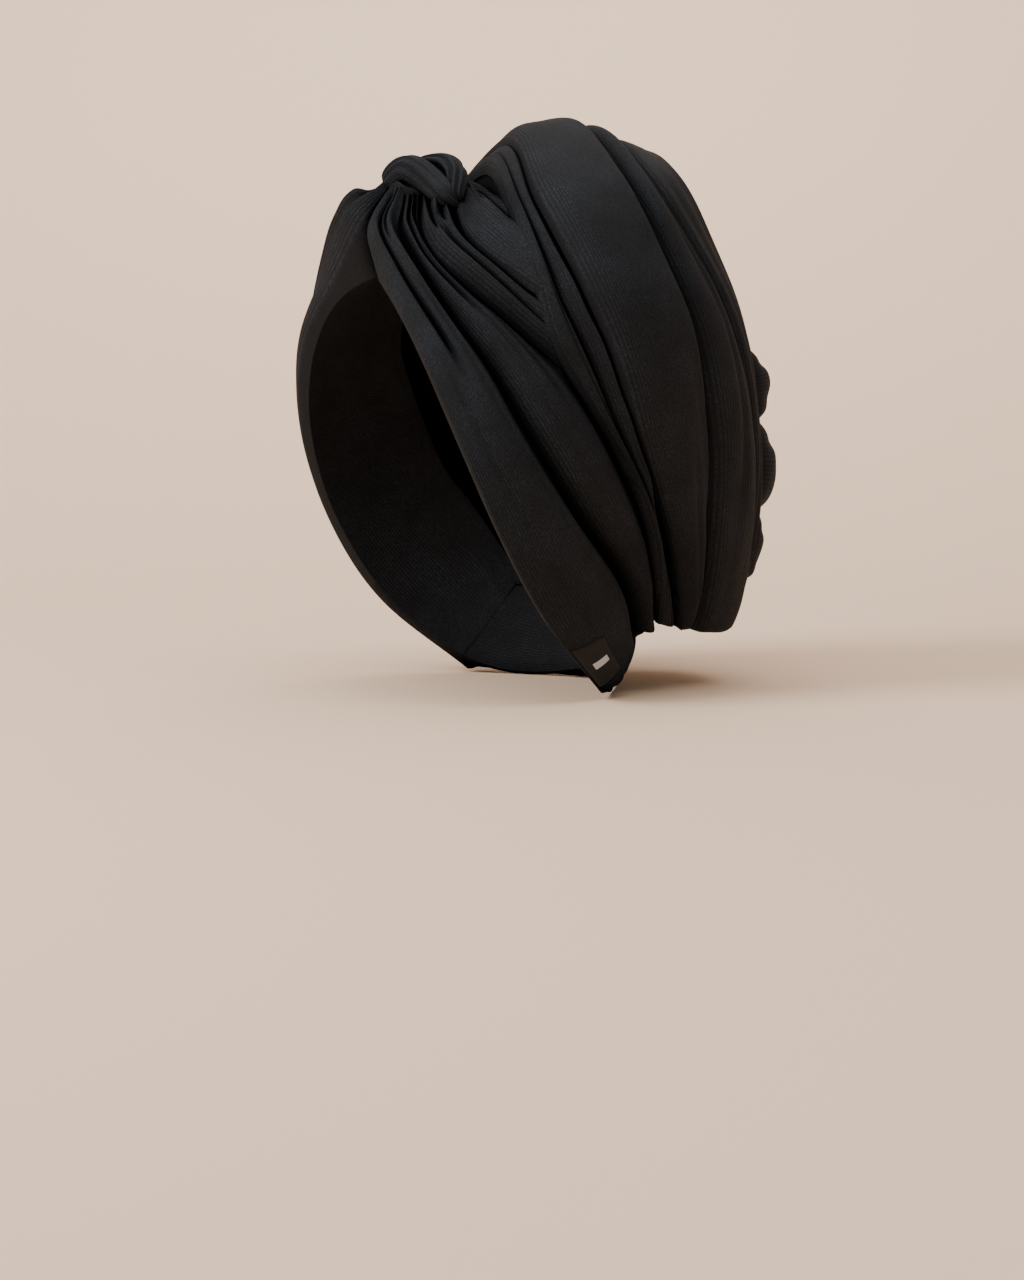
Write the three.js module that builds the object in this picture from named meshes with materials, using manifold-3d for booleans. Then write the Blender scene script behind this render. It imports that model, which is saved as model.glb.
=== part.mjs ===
// A tied turban headwrap of black jersey: a pleated head band that runs from a knot above the
// forehead down behind the ears to the nape, and a deep wound crown of layered pleats behind it.
// Millimetres, +Z up, the face looks along -Y and the wearer's left side is +X. The origin is the
// top of the head, where the wrap sits. Every fold is a closed wall of wound cloth, drawn as a
// height above the head and bounded by creases, so neighbouring folds meet with a small gap.
import * as THREE from 'three';
import * as BufferGeometryUtils from 'three/addons/utils/BufferGeometryUtils.js';
import Module from 'manifold-3d';

const wasm = await Module();
wasm.setup();

// The head that the wrap is tied on
const HEAD_WIDTH = 156;
const HEAD_LENGTH = 196;
const HEAD_RISE = 125; // from the widest level up to the top
const HEAD_DROP = 190; // how slowly the head narrows below the widest level
const HEAD_LEAN = 25; // how far the top lies behind the middle of the widest level
const MIDDLE_DEPTH = 105; // depth under the top of the point that turns and tilts are seen from
const MIDDLE_SHIFT = 20; // and how far that point lies in front of the top

// The cloth
const HEAD_EASE = 1.0; // between the head and the inside of the wrap
const WALL = 4.0; // wall of the hollow crown, a few layers of jersey
const CREASE_GAP = 0.7; // between two folds that meet side by side
const TUCK_GAP = 1.0; // between the end of a fold and the crease that it is tucked under
const SEAT_GAP = 0.4; // between a piece and the cloth that it lies on

// Loft of the two main forms above the head
const CROWN_LOFT = 68;
const BAND_LOFT = 10;

// The knot
const KNOT_LENGTH = 62; // front to back
const KNOT_HEIGHT = 42; // above the head
const LOOP_THICK = 12; // of each of its two loops

// The sewn label
const LABEL_THICK = 1.0;
const LABEL_START = 0.885; // where it starts and ends, as shares of the front band's length
const LABEL_END = 0.975;
const LABEL_DEPTH = 0.34; // as a share of the front band's width

const MERGE = 0.01; // vertices closer than this are one

const COLOURS = { jersey: 0x17171a, label: 0x151313 };

const middle = new THREE.Vector3(0, -MIDDLE_SHIFT, -MIDDLE_DEPTH);

// Whether a point lies inside the head, an egg whose top leans back
function insideHead(p) {
  const height = p.z + HEAD_RISE;
  const reach = height > 0 ? HEAD_RISE : HEAD_DROP;
  const lean = height > 0 ? HEAD_LEAN * Math.pow(height / HEAD_RISE, 1.5) : 0;
  const across = p.x / (HEAD_WIDTH / 2);
  const along = (p.y + HEAD_LEAN - lean) / (HEAD_LENGTH / 2);
  return across ** 2 + along ** 2 + (height / reach) ** 2 < 1;
}

// Distance from the middle of the head to its skin in a direction
function headRadius(direction) {
  let inner = 0;
  let outer = HEAD_LENGTH * 1.5;
  for (let step = 0; step < 32; step++) {
    const half = (inner + outer) / 2;
    if (insideHead(middle.clone().addScaledVector(direction, half))) inner = half;
    else outer = half;
  }
  return inner;
}

// A direction from its turn (0 left, 90 back, -90 front) and its tilt above the horizon
function direction(turn, tilt) {
  const t = THREE.MathUtils.degToRad(turn);
  const e = THREE.MathUtils.degToRad(tilt);
  return new THREE.Vector3(Math.cos(t) * Math.cos(e), Math.sin(t) * Math.cos(e), Math.sin(e));
}

// A crease as a smooth curve. Its rows hold turn and tilt in degrees and lift, the height of the
// cloth's skin above the head, as a share of the loft. A mirrored crease goes on over the top.
function crease(loft, rows, mirrored = false) {
  const left = rows.map(([turn, tilt, lift]) => {
    const d = direction(turn, tilt);
    return middle.clone().addScaledVector(d, headRadius(d) + lift * loft);
  });
  const right = left.slice(0, -1).reverse().map((p) => new THREE.Vector3(-p.x, p.y, p.z));
  const points = mirrored ? [...left, ...right] : left;
  return new THREE.CatmullRomCurve3(points, false, 'catmullrom', 0.5);
}

const point = (curve, t) => curve.getPoint(THREE.MathUtils.clamp(t, 0, 1));
const mirror = (edge) => (t) => {
  const p = edge(t);
  return new THREE.Vector3(-p.x, p.y, p.z);
};
const stretch = (curve, from, to) => (t) => point(curve, from + (to - from) * t);

// An edge that follows one edge up to a share of its length, and then another
const follow = (first, second, share) => (t) =>
  t < share ? first(t / share) : second((t - share) / (1 - share));

// Creases of the wound crown, from the left nape up over the head: [turn, tilt, lift]
const CROWN_CREASES = {
  front: [[56, -32.5, 0.32], [40, -12, 0.32], [28, 8, 0.27], [14, 34, 0.28],
    [10, 51, 0.38], [20, 70, 0.45], [90, 79.5, 0.56]],
  roll: [[59, -32, 0.42], [42, -12, 0.34], [31, 3, 0.32], [19, 31, 0.37],
    [13, 48, 0.46], [20, 68, 0.54], [90, 78.5, 0.66]],
  valley: [[62, -31.5, 0.48], [43, -9, 0.36], [31, 12, 0.4], [24, 29, 0.49],
    [19, 45, 0.56], [24, 65, 0.6], [90, 76.5, 0.74]],
  main: [[65, -31, 0.54], [53, -12, 0.56], [49, 5, 0.62], [44, 24, 0.72],
    [42, 39, 0.77], [49, 57, 0.86], [90, 66, 0.97]],
  side: [[75, -27, 0.9], [66, -10, 0.88], [62, 8, 0.89], [57, 27, 0.9],
    [55, 42, 0.89], [58, 55, 0.93], [90, 61, 1.03]],
  back: [[83, -26, 0.93], [70, -11, 0.88], [68, 8, 0.89], [66, 27, 0.92],
    [67, 42, 0.98], [72, 51, 1.06], [90, 54, 1.12]],
};
const crown = Object.fromEntries(
  Object.entries(CROWN_CREASES).map(([name, rows]) => [name, crease(CROWN_LOFT, rows, true)]));

// Creases of the head band, from the knot down the left side to the nape: [turn, tilt, lift]
const BAND_CREASES = {
  brow: [[-88, 80, 3.5], [-87, 73, 2.3], [-65, 66.5, 1], [-34, 41.5, 0.6], [-21, 14, 0.6],
    [-8, -15, 0.6], [9.5, -37, 0.65], [39, -49.5, 0.8]],
  pleat: [[-66, 80.5, 3.5], [-56, 73.5, 2.1], [-30, 59.5, 1], [-9, 37, 0.6], [3, 14, 0.6],
    [20, -10, 0.7], [42, -27, 0.9], [52, -37, 1.2]],
};
const band = Object.fromEntries(
  Object.entries(BAND_CREASES).map(([name, rows]) => [name, crease(BAND_LOFT, rows)]));

// Creases of the tucks that run from the knot back under the crown's front crease. Each has the
// turn, tilt and lift of its start, knee and waist, and the share of the front crease it meets.
const TUCK_CREASES = [
  { start: [-45, 80.5, 3.2], knee: [-34, 70, 1.8], waist: [-8, 57, 1.1], meets: 0.24 },
  { start: [-5, 82, 2.9], knee: [-8, 75, 2.1], waist: [-3, 67, 1.4], meets: 0.315 },
  { start: [30, 83.5, 2.8], knee: [28, 80.5, 2.8], waist: [25, 77, 2.6], meets: 0.4 },
];
const tucks = TUCK_CREASES.map(({ start, knee, waist, meets }) => {
  const end = point(crown.front, meets);
  const from = crease(BAND_LOFT, [start, knee, waist]);
  return { curve: new THREE.CatmullRomCurve3([...from.points, end], false, 'catmullrom', 0.5), meets };
});

// Height of a fold over its two creases: it climbs steeply at both, and its crest leans
function swell(share, crest, fullness) {
  const skew = Math.log(0.5) / Math.log(crest);
  const lean = Math.pow(THREE.MathUtils.clamp(share, 0, 1), skew);
  return Math.pow(Math.max(0, Math.sin(Math.PI * lean)), fullness);
}

// The skin of a fold between two edges. It returns the direction and the lift of its creases.
function skinOf({ front, back, start, end }) {
  const lerp = (a, b, s) => a.clone().lerp(b, s);
  return (s, t) => {
    const p = lerp(front(t), back(t), s);
    if (end) p.add(end(s).sub(lerp(front(1), back(1), s)).multiplyScalar(t ** 3));
    if (start) p.add(start(s).sub(lerp(front(0), back(0), s)).multiplyScalar((1 - t) ** 3));
    const d = p.sub(middle).normalize();
    const liftAt = (q) => {
      const v = q.sub(middle);
      const length = v.length();
      return length - headRadius(v.divideScalar(length));
    };
    const edges = THREE.MathUtils.lerp(liftAt(front(t)), liftAt(back(t)), s);
    return { d, lift: edges };
  };
}

// A fold as a closed wall. Across it has a crest, along it has ends that round off.
// seat is the lift that its inside reaches down to, as a function of the skin's lift and t.
function fold(name, { across, along, rise, crest = 0.5, fullness = 0.6, round = [0, 0],
  puff = 0, tied = 1, ribs = 0, ribHeight = 0, seat = () => HEAD_EASE, trim = [0, 0], ...edges }) {
  const skin = skinOf(edges);
  const endRound = (t) => {
    const low = round[0] ? Math.min(1, t / round[0]) : 1;
    const high = round[1] ? Math.min(1, (1 - t) / round[1]) : 1;
    return Math.sqrt(Math.sin(Math.PI / 2 * low)) * Math.sqrt(Math.sin(Math.PI / 2 * high));
  };
  const height = (s, t) => {
    const gather = ribs ? ribHeight * Math.sin(Math.PI * ribs * s) ** 2 * Math.max(0, 1 - 1.6 * t) : 0;
    const bulk = THREE.MathUtils.lerp(tied, 1, THREE.MathUtils.smoothstep(t, 0, 0.2));
    return bulk * (rise * (1 + puff * (1 - t) ** 3) * swell(s, crest, fullness) * endRound(t) + gather);
  };
  const outer = (s, t) => {
    const { d, lift } = skin(s, t);
    return { d, radius: headRadius(d) + lift + height(s, t) };
  };
  // Grown by a clearance, the wall is the shape to cut from a piece that lies on this one
  const build = (grow = 0) => {
    const length = edges.front(0).distanceTo(edges.back(1)) + 1;
    const wider = (k, count) => (k === 0 ? -grow : k === count ? grow : 0);
    const rings = [];
    for (let i = 0; i <= along; i++) {
      const t = THREE.MathUtils.lerp(trim[0] / length, 1 - trim[1] / length, i / along);
      const span = Math.max(edges.front(t).distanceTo(edges.back(t)), 4 * CREASE_GAP);
      const inset = CREASE_GAP / 2 / span;
      const top = [];
      const bottom = [];
      for (let j = 0; j <= across; j++) {
        const s = THREE.MathUtils.lerp(inset, 1 - inset, j / across);
        const { lift } = skin(s, t);
        const { d, radius } = outer(s, t);
        const low = headRadius(d) + Math.min(seat(lift, t), lift - 1);
        const outwards = skin(s + wider(j, across) / span, t + wider(i, along) / length).d;
        top.push(middle.clone().addScaledVector(outwards, radius + grow));
        bottom.push(middle.clone().addScaledVector(outwards, low - grow));
      }
      rings.push([...top, ...bottom.reverse()]);
    }
    return closedLoft(rings);
  };
  return { name, build, outer, skin };
}

// A closed mesh through rings of points, whose ends are strips between the two halves of a ring
function closedLoft(rings) {
  const size = rings[0].length;
  const half = size / 2;
  const index = [];
  for (let i = 0; i < rings.length - 1; i++) {
    for (let j = 0; j < size; j++) {
      const a = i * size + j;
      const b = i * size + (j + 1) % size;
      index.push(a, b, a + size, b, b + size, a + size);
    }
  }
  const last = (rings.length - 1) * size;
  for (let j = 0; j < half - 1; j++) {
    const k = size - 1 - j;
    index.push(j, k, j + 1, k, k - 1, j + 1);
    index.push(last + j, last + j + 1, last + k, last + k, last + j + 1, last + k - 1);
  }
  const geometry = new THREE.BufferGeometry();
  const points = rings.flat().flatMap((p) => [p.x, p.y, p.z]);
  geometry.setAttribute('position', new THREE.Float32BufferAttribute(points, 3));
  geometry.setIndex(index);
  return facingOut(geometry);
}

// Turns a closed mesh's faces outwards
function facingOut(geometry) {
  const p = geometry.attributes.position;
  const index = geometry.index.array;
  const [a, b, c] = [new THREE.Vector3(), new THREE.Vector3(), new THREE.Vector3()];
  let volume = 0;
  for (let i = 0; i < index.length; i += 3) {
    a.fromBufferAttribute(p, index[i]);
    b.fromBufferAttribute(p, index[i + 1]);
    c.fromBufferAttribute(p, index[i + 2]);
    volume += a.dot(b.cross(c));
  }
  if (volume < 0) {
    for (let i = 0; i < index.length; i += 3) [index[i], index[i + 1]] = [index[i + 1], index[i]];
  }
  return geometry;
}

function toSolid(geometry) {
  const bare = geometry.clone();
  bare.deleteAttribute('normal');
  bare.deleteAttribute('uv');
  const merged = BufferGeometryUtils.mergeVertices(bare, 1e-4);
  return new wasm.Manifold(new wasm.Mesh({
    numProp: 3,
    vertProperties: Float32Array.from(merged.attributes.position.array),
    triVerts: Uint32Array.from(merged.index.array),
  }));
}

// A solid's mesh, with vertices merged that lie within a hundredth of a millimetre
function toGeometry(solid) {
  const mesh = solid.getMesh();
  const geometry = new THREE.BufferGeometry();
  geometry.setAttribute('position', new THREE.BufferAttribute(mesh.vertProperties, 3));
  geometry.setIndex(new THREE.BufferAttribute(mesh.triVerts, 1));
  const merged = BufferGeometryUtils.mergeVertices(geometry, MERGE);
  const index = [];
  for (let i = 0; i < merged.index.count; i += 3) {
    const [a, b, c] = [0, 1, 2].map((k) => merged.index.getX(i + k));
    if (a !== b && b !== c && c !== a) index.push(a, b, c);
  }
  merged.setIndex(index);
  return merged;
}

// The folds of the crown reach over the head from nape to nape
const hollowWall = (reach) => (lift, t) => {
  const foot = Math.min(t, 1 - t) / reach;
  const inside = Math.max(HEAD_EASE, lift - WALL);
  return foot >= 1 ? inside : THREE.MathUtils.lerp(BAND_LOFT * 1.2, inside, foot ** 0.5);
};
const edge = (curve) => (t) => point(curve, t);
// rise is the height of each fold over its creases, as a share of the crown's loft. foot is the
// share of its length in which each end rounds off.
const CROWN_FOLDS = [
  { name: 'crown_roll_front', front: 'front', back: 'roll', across: 4, rise: 0.08, crest: 0.4,
    fullness: 0.55, foot: 0.04 },
  { name: 'crown_valley', front: 'roll', back: 'valley', across: 3, rise: 0.037, crest: 0.5,
    fullness: 0.6, foot: 0.04 },
  { name: 'crown_main_pleat', front: 'valley', back: 'main', across: 7, rise: 0.12, crest: 0.42,
    fullness: 0.45, foot: 0.06 },
  { name: 'crown_side_pleat', front: 'main', back: 'side', across: 6, rise: 0.09, crest: 0.55,
    fullness: 0.55, foot: 0.04 },
  { name: 'crown_back_pleat', front: 'side', back: 'back', across: 3, rise: 0.05, crest: 0.5,
    fullness: 0.6, foot: 0.04 },
];
const FOOT_REACH = 0.08; // share of a fold's length in which its wall comes down to the head
const crownFolds = CROWN_FOLDS.map(({ name, front, back, rise, foot, ...shape }) => fold(name, {
  front: edge(crown[front]), back: edge(crown[back]), along: 26, rise: rise * CROWN_LOFT,
  round: [foot, foot], seat: front === 'front' ? undefined : hollowWall(FOOT_REACH), ...shape }));

// Lobes of the tail that is tucked into the back of the crown, as creases between the two back
// pleats: the share of the back crease where each starts, and its tilt and lift in the middle
const LOBE_CREASES = [
  { at: 0.46, tilt: 53.4, lift: 1.12 },
  { at: 0.232, tilt: 20, lift: 0.98 },
  { at: 0.18, tilt: 9, lift: 0.94 },
  { at: 0.114, tilt: -6, lift: 0.92 },
  { at: 0.055, tilt: -19, lift: 0.86 },
  { at: 0.0, tilt: -28, lift: 0.86 },
];
const lobeEdges = LOBE_CREASES.map(({ at, tilt, lift }) => {
  const left = point(crown.back, at);
  const right = point(crown.back, 1 - at);
  const d = direction(90, tilt);
  const centre = middle.clone().addScaledVector(d, headRadius(d) + lift * CROWN_LOFT);
  return edge(new THREE.CatmullRomCurve3([left, centre, right], false, 'catmullrom', 0.5));
});
// The rise of each lobe is a share of the crown's loft
const LOBES = [
  { name: 'crown_back_panel', rise: 0.06, across: 6 },
  { name: 'tail_lobe_1', rise: 0.19, across: 5 },
  { name: 'tail_lobe_2', rise: 0.22, across: 5 },
  { name: 'tail_lobe_3', rise: 0.18, across: 5 },
  { name: 'crown_bottom', rise: 0.1, across: 4 },
];
const lobeFolds = LOBES.map(({ name, rise, across }, k) => {
  const [above, below] = [LOBE_CREASES[k].at, LOBE_CREASES[k + 1].at];
  return fold(name, { front: lobeEdges[k], back: lobeEdges[k + 1],
    start: stretch(crown.back, above, below), end: stretch(crown.back, 1 - above, 1 - below),
    along: 12, across, rise: rise * CROWN_LOFT, fullness: 0.5, round: [0.16, 0.16],
    trim: [TUCK_GAP, TUCK_GAP],
    seat: (lift) => (k === LOBES.length - 1 ? BAND_LOFT * 1.2 : lift - WALL) });
});

// The head band and the tucks on one side. The band's rear fold runs on along the front crease.
const REAR_TURN = 0.5; // share of the rear fold's edge that lies between the knot and the crease
// Rises of the folds over their creases, as shares of the band's loft
const BAND_RISE = { front: 0.36, rear: 0.44, tuck: 0.7, top: 0.6, nape: 0.5, core: 0.4, gather: 0.24 };
function sideFolds(side, flip, loftier, puff) {
  const turned = flip ? mirror : (e) => e;
  const rear = follow(edge(tucks[0].curve), stretch(crown.front, tucks[0].meets, 0.0), REAR_TURN);
  const trim = [TUCK_GAP, SEAT_GAP];
  const loft = BAND_LOFT * loftier;
  const folds = [
    fold(`band_front_${side}`, { front: turned(edge(band.brow)), back: turned(edge(band.pleat)), along: 18,
      across: 8, rise: BAND_RISE.front * loft, puff, tied: 0.2, crest: 0.6, fullness: 0.5, ribs: 4,
      ribHeight: BAND_RISE.gather * BAND_LOFT, trim }),
    fold(`band_rear_${side}`, { front: turned(edge(band.pleat)), back: turned(rear), along: 16,
      across: 6, rise: BAND_RISE.rear * loft, puff, tied: 0.2, crest: 0.45, fullness: 0.55, ribs: 3,
      ribHeight: BAND_RISE.gather * BAND_LOFT, trim }),
  ];
  for (let k = 0; k < tucks.length - 1; k++) {
    folds.push(fold(`tuck_${k + 1}_${side}`, {
      front: turned(edge(tucks[k].curve)), back: turned(edge(tucks[k + 1].curve)),
      end: turned(stretch(crown.front, tucks[k].meets, tucks[k + 1].meets)),
      along: 9, across: 5, rise: BAND_RISE.tuck * BAND_LOFT, tied: 0.3, fullness: 0.6,
      trim: [TUCK_GAP, TUCK_GAP] }));
  }
  return folds;
}
const topTuck = fold('tuck_top', {
  front: edge(tucks.at(-1).curve), back: mirror(edge(tucks.at(-1).curve)),
  end: stretch(crown.front, tucks.at(-1).meets, 1 - tucks.at(-1).meets),
  along: 8, across: 10, rise: BAND_RISE.top * BAND_LOFT, tied: 0.3, trim: [TUCK_GAP, 1.5 * TUCK_GAP] });
const leftFolds = sideFolds('left', false, 1, 0.3);
const rightFolds = sideFolds('right', true, 2.8, 1.1);

// The band goes on round the nape in two folds
const napeEdge = (curve, tilt, lift) => {
  const left = point(curve, 1);
  const d = direction(90, tilt);
  const centre = middle.clone().addScaledVector(d, headRadius(d) + lift * BAND_LOFT);
  const right = new THREE.Vector3(-left.x, left.y, left.z);
  return edge(new THREE.CatmullRomCurve3([left, centre, right], false, 'catmullrom', 0.5));
};
const napeTop = crease(BAND_LOFT, [[56, -34.5, 1.3], [70, -34, 1.2], [90, -33.5, 1.2]], true);
const napeFolds = [
  fold('nape_lower', { front: napeEdge(band.brow, -47, 0.8), back: napeEdge(band.pleat, -40.5, 1.1),
    along: 14, across: 5, rise: BAND_RISE.nape * BAND_LOFT, trim: [SEAT_GAP, SEAT_GAP] }),
  fold('nape_upper', { front: napeEdge(band.pleat, -40.5, 1.1), back: edge(napeTop),
    along: 14, across: 4, rise: BAND_RISE.nape * BAND_LOFT, trim: [SEAT_GAP, SEAT_GAP] }),
];

// The dark middle of the knot, inside the ring where the band and the tucks start
function chain(points) {
  return (t) => {
    const at = THREE.MathUtils.clamp(t, 0, 1) * (points.length - 1);
    const k = Math.min(Math.floor(at), points.length - 2);
    return points[k].clone().lerp(points[k + 1], at - k);
  };
}
const ring = chain([band.brow, band.pleat, ...tucks.map((tuck) => tuck.curve)].map((c) => point(c, 0)));
const knotCore = fold('knot_core', { front: mirror(ring), back: ring, along: 8, across: 5,
  rise: BAND_RISE.core * BAND_LOFT, fullness: 0.7, trim: [TUCK_GAP, TUCK_GAP] });

// The two loops of the knot as rolls of cloth: [left, back, up, width], shares of the knot's
// length, and of its height for up
const LOOPS = {
  knot_loop_front: [[-0.37, -0.48, 0.38, 0.2], [-0.2, -0.5, 0.72, 0.24], [-0.08, -0.48, 0.82, 0.26],
    [0.065, -0.44, 0.78, 0.27], [0.18, -0.39, 0.66, 0.26], [0.27, -0.355, 0.5, 0.23],
    [0.34, -0.34, 0.32, 0.16]],
  knot_loop_back: [[-0.39, -0.3, 0.34, 0.3], [-0.23, -0.33, 0.72, 0.36], [-0.05, -0.31, 0.8, 0.4],
    [0.12, -0.28, 0.76, 0.38], [0.24, -0.28, 0.62, 0.32], [0.32, -0.31, 0.48, 0.25],
    [0.35, -0.33, 0.3, 0.18]],
};
function loop(rows, grow = 0) {
  const spine = new THREE.CatmullRomCurve3(
    rows.map(([x, y, z]) => new THREE.Vector3(x * KNOT_LENGTH, y * KNOT_LENGTH, z * KNOT_HEIGHT)),
    false, 'catmullrom', 0.5);
  const steps = 14;
  const sides = 10;
  const rings = [];
  for (let i = 0; i <= steps; i++) {
    const t = i / steps;
    const centre = spine.getPoint(t);
    const out = centre.clone().sub(middle).normalize();
    const wide = spine.getTangent(t).cross(out).normalize();
    const high = wide.clone().cross(spine.getTangent(t)).normalize();
    const row = t * (rows.length - 1);
    const k = Math.min(Math.floor(row), rows.length - 2);
    const width = THREE.MathUtils.lerp(rows[k][3], rows[k + 1][3], row - k) * KNOT_LENGTH;
    const points = [];
    for (let j = 0; j < sides; j++) {
      const a = Math.PI * (0.5 + 2 * j) / sides;
      points.push(centre.clone().addScaledVector(wide, Math.cos(a) * (width / 2 + grow))
        .addScaledVector(high, Math.sin(a) * (LOOP_THICK / 2 + grow)));
    }
    rings.push(points);
  }
  return closedLoft(rings);
}

// The label is sewn over the lower edge of the band, at its seam near the left nape
function labelOn(band) {
  const rings = [];
  for (let i = 0; i <= 4; i++) {
    const t = THREE.MathUtils.lerp(LABEL_START, LABEL_END, i / 4);
    const shares = [0, 1, 2, 3].map((j) => LABEL_DEPTH * (0.1 + 0.9 * j / 3));
    const at = (s, height) => {
      const { d, radius } = band.outer(s, t);
      return middle.clone().addScaledVector(d, radius + height);
    };
    const face = shares.map((s) => at(s, SEAT_GAP + LABEL_THICK));
    const under = shares.map((s) => at(s, SEAT_GAP));
    rings.push([...face, ...under.reverse()]);
  }
  return closedLoft(rings);
}

const folds = [...leftFolds, ...rightFolds, topTuck, knotCore, ...napeFolds, ...crownFolds, ...lobeFolds];

const materials = {
  jersey: new THREE.MeshStandardMaterial({ color: COLOURS.jersey, roughness: 0.9, metalness: 0 }),
  label: new THREE.MeshStandardMaterial({ color: COLOURS.label, roughness: 0.8, metalness: 0 }),
};

const turban = new THREE.Group();
function add(name, geometry, material = materials.jersey) {
  const mesh = new THREE.Mesh(geometry, material);
  mesh.name = name;
  turban.add(mesh);
}
for (const f of folds) add(f.name, f.build());
add('label', labelOn(leftFolds[0]), materials.label);

// The loops lie on the folds that start under them, and the front loop lies on the back one
const join = (solids) => solids.reduce((whole, solid) => whole.add(solid));
const under = folds.filter((f) => /^(band|tuck|knot)/.test(f.name));
const seat = join(under.map((f) => toSolid(f.build(SEAT_GAP))));
const frontLoop = toSolid(loop(LOOPS.knot_loop_front)).subtract(seat);
const frontLoopBed = toSolid(loop(LOOPS.knot_loop_front, SEAT_GAP));
const backLoop = toSolid(loop(LOOPS.knot_loop_back)).subtract(join([seat, frontLoopBed]));
add('knot_loop_back', toGeometry(backLoop));
add('knot_loop_front', toGeometry(frontLoop));

export default turban;
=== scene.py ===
"""Looks of a tied turban headwrap of black jersey: a pleated head band, a knot above the
forehead, and a deep wound crown of layered folds with a tail tucked in behind.

Every fold lies between two creases and is drawn as a height above the head, as its solid is.
Here it gets a fine mesh, lips that lap over the next fold, gathers, creases and ripples.
"""

import math

import bpy
import numpy as np
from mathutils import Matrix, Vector


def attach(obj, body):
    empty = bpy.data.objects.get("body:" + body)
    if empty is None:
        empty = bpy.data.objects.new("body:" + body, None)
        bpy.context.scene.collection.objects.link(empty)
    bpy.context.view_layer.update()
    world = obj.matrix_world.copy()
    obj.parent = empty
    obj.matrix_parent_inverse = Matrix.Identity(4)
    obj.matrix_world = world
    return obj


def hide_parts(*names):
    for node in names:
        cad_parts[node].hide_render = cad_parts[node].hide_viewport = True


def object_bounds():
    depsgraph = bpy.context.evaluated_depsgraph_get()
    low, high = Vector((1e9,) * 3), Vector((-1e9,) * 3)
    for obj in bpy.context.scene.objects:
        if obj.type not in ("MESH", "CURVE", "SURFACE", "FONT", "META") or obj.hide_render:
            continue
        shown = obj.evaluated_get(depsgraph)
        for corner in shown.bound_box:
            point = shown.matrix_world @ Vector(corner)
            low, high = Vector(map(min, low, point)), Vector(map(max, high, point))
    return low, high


bl_info = {
    "name": "Turban headwrap",
    "version": (1, 0, 0),
    "blender": (4, 5, 0),
    "location": "3D View > Sidebar > Headwrap",
    "description": "Builds the cloth, the label and the studio of a tied turban headwrap",
    "category": "Object",
}

MM = 0.001
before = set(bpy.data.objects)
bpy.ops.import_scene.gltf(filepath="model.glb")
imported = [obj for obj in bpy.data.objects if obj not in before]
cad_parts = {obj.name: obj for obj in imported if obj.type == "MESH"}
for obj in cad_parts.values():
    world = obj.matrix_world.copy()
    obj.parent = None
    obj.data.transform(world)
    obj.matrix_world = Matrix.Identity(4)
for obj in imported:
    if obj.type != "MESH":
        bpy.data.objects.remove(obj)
CAD_BOX = [list(corner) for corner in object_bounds()]

# The head that the wrap is tied on, in millimetres
HEAD_WIDTH = 156.0
HEAD_LENGTH = 196.0
HEAD_RISE = 125.0
HEAD_DROP = 190.0
HEAD_LEAN = 25.0
MIDDLE = np.array([0.0, -20.0, -105.0])
HEAD_EASE = 1.0

# Least thickness of the cloth over the head, and of a fold's wall
LEAST_CLOTH = 1.6
LEAST_WALL = 0.6

# Clearances at the ends of the folds
TUCK_GAP = 0.2
SEAT_GAP = 0.0


# Curves


def spline(points):
    """A uniform Catmull-Rom curve through the points, as a function of shares of its length."""
    points = np.asarray(points, float)
    padded = np.vstack([2 * points[0] - points[1], points, 2 * points[-1] - points[-2]])

    def at(t):
        place = np.clip(np.asarray(t, float), 0, 1) * (len(points) - 1)
        k = np.minimum(place.astype(int), len(points) - 2)
        w = (place - k)[..., None]
        p0, p1, p2, p3 = (padded[k + i] for i in range(4))
        a, b = (p2 - p0) / 2, (p3 - p1) / 2
        return p1 + a * w + (-3 * p1 + 3 * p2 - 2 * a - b) * w**2 + (2 * p1 - 2 * p2 + a + b) * w**3

    return at


def chain(points):
    """Straight lines through the points, as a function of shares."""
    points = np.asarray(points, float)

    def at(t):
        place = np.clip(np.asarray(t, float), 0, 1) * (len(points) - 1)
        k = np.minimum(place.astype(int), len(points) - 2)
        w = (place - k)[..., None]
        return points[k] + (points[k + 1] - points[k]) * w

    return at


def mirror(edge):
    return lambda t: edge(t) * np.array([-1.0, 1.0, 1.0])


def stretch(edge, low, high):
    return lambda t: edge(low + (high - low) * np.asarray(t, float))


def follow(first, second, share):
    """An edge that follows one edge up to a share of its length, and then another."""

    def at(t):
        t = np.asarray(t, float)
        a = first(t / share)
        b = second((t - share) / (1 - share))
        return np.where((t < share)[..., None], a, b)

    return at


def rounded(edge, reach):
    """An edge with its corners rounded off over a reach of its length."""

    def at(t):
        t = np.asarray(t, float)
        near = np.clip(np.minimum(t, 1 - t) / reach, 0, 1) * reach
        return sum(edge(t + near * k / 4) * (5 - abs(k)) for k in range(-4, 5)) / 25

    return at


def smooth(x, low, high):
    u = np.clip((np.asarray(x, float) - low) / (high - low), 0, 1)
    return u * u * (3 - 2 * u)


def blend(a, b, share):
    return a + (b - a) * share


# The head


def inside_head(p):
    height = p[..., 2] + HEAD_RISE
    above = height > 0
    reach = np.where(above, HEAD_RISE, HEAD_DROP)
    lean = np.where(above, HEAD_LEAN * np.clip(height / HEAD_RISE, 0, None) ** 1.5, 0)
    across = p[..., 0] / (HEAD_WIDTH / 2)
    along = (p[..., 1] + HEAD_LEAN - lean) / (HEAD_LENGTH / 2)
    return across**2 + along**2 + (height / reach) ** 2 < 1


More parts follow.
